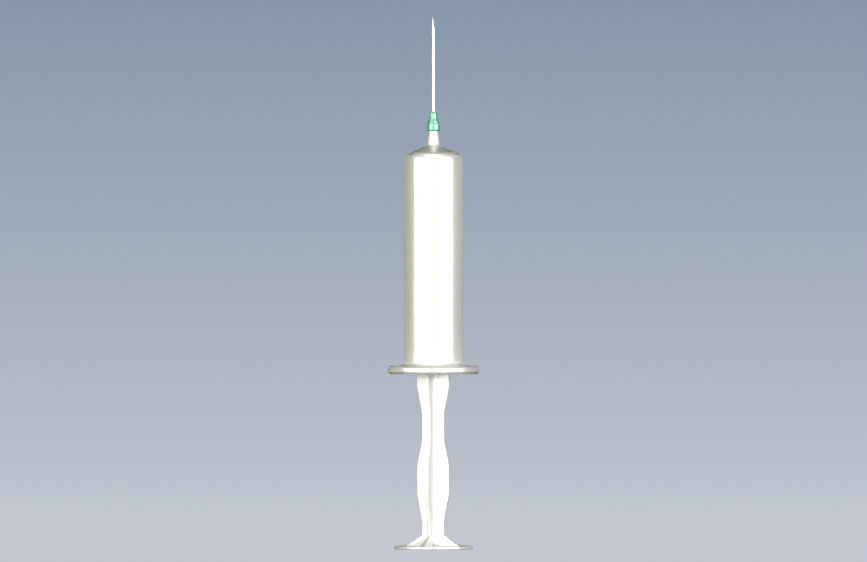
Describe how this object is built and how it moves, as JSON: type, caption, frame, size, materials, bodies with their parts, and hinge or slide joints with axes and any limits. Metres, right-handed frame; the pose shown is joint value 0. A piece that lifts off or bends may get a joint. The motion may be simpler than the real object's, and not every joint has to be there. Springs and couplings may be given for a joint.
{
  "type": "syringe",
  "caption": "Plastic luer slip syringe with a long bevelled needle, a round finger flange and a cross-ribbed plunger drawn back, standing on its thumb rest.",
  "frame": {"origin": "centre of the thumb rest's flat underside, on which the syringe stands", "axes": "+Z along the barrel's axis towards the needle's point; +X is the side that the needle's bevel faces"},
  "size_m": [0.0352, 0.0352, 0.2064],
  "materials": {
    "barrel_plastic": "glossy milky white moulding",
    "stopper_rubber": "smooth dark rubber with a film of oil",
    "rod_plastic": "glossy white moulding",
    "hub_plastic": "glossy green moulding",
    "needle_steel": "drawn and polished tube, ground at the point",
    "needle_epoxy": "clear hardened epoxy"
  },
  "bodies": {
    "barrel": {"barrel": "barrel_plastic"},
    "piston": {"stopper": "stopper_rubber"},
    "plunger": {"plunger_rod": "rod_plastic"},
    "needle": {"needle_hub": "hub_plastic", "needle_cannula": "needle_steel", "needle_adhesive": "needle_epoxy"}
  },
  "joints": [
    {"name": "plunger_slide", "type": "slide", "parent": "barrel", "child": "piston", "axis": [0, 0, 1], "range_m": [-0.0098, 0.0599]},
    {"name": "rod_turn", "type": "hinge", "parent": "piston", "child": "plunger", "pos_m": [0, 0, 0.0805], "axis": [0, 0, 1], "continuous": true},
    {"name": "needle_pull", "type": "slide", "parent": "barrel", "child": "needle", "axis": [0, 0, 1], "range_m": [0, 0.012]}
  ]
}
